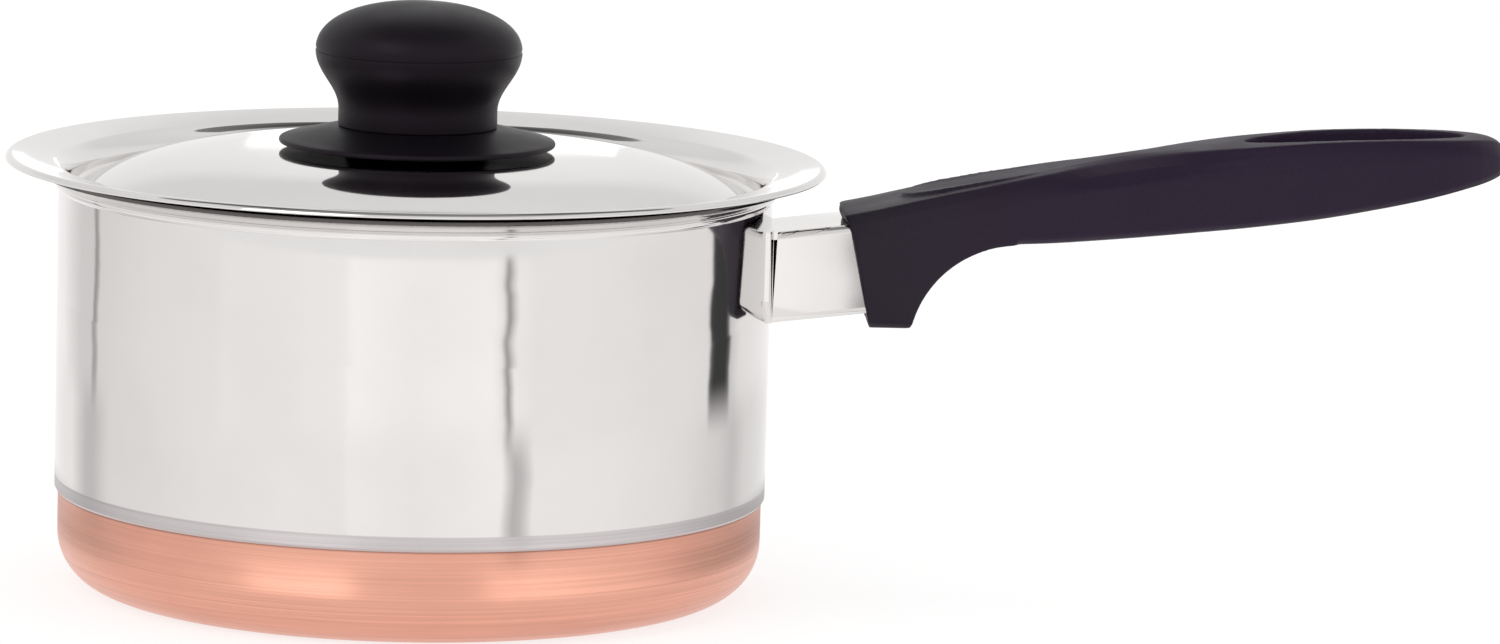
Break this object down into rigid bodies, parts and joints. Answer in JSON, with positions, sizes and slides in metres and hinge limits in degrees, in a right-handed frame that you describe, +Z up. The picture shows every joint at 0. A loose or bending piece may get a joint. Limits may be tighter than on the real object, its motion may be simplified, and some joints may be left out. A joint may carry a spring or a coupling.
{
  "type": "lidded saucepan",
  "caption": "Straight-sided steel saucepan with a copper bottom cup, a bolted plastic stick handle with a hanging hole, and a lift-off domed steel lid with a plastic knob.",
  "frame": {"origin": "centre of the underside of the copper cup, on the pan's axis", "axes": "+Z up along the pan's axis, +X from the pan's axis along the handle"},
  "size_m": [0.3409, 0.1858, 0.1339],
  "materials": {
    "polished_steel": "mirror-polished stainless steel with faint hairlines; satin inside the pan",
    "copper": "copper brushed round the pan, with a darker edge line",
    "aluminium_core": "mill finish, hidden",
    "handle_plastic": "matt moulded phenolic with a fine speckled grain, slightly purple",
    "knob_plastic": "matt moulded black phenolic",
    "zinc_steel": "zinc-plated steel",
    "brass_insert": "machined brass, hidden"
  },
  "bodies": {
    "pan": {"pan_shell": "polished_steel", "copper_cup": "copper", "heat_disc": "aluminium_core", "handle_bracket": "polished_steel", "bracket_nut": "zinc_steel", "handle_grip": "handle_plastic", "handle_washer": "zinc_steel", "handle_screw": "zinc_steel"},
    "lid": {"lid_shell": "polished_steel", "knob_skirt": "knob_plastic", "lid_knob": "knob_plastic", "knob_insert": "brass_insert", "knob_washer": "zinc_steel", "knob_screw": "zinc_steel"}
  },
  "joints": [
    {"name": "lid_lift", "type": "slide", "parent": "pan", "child": "lid", "axis": [0, 0, 1], "range_m": [0, 0.12]}
  ]
}
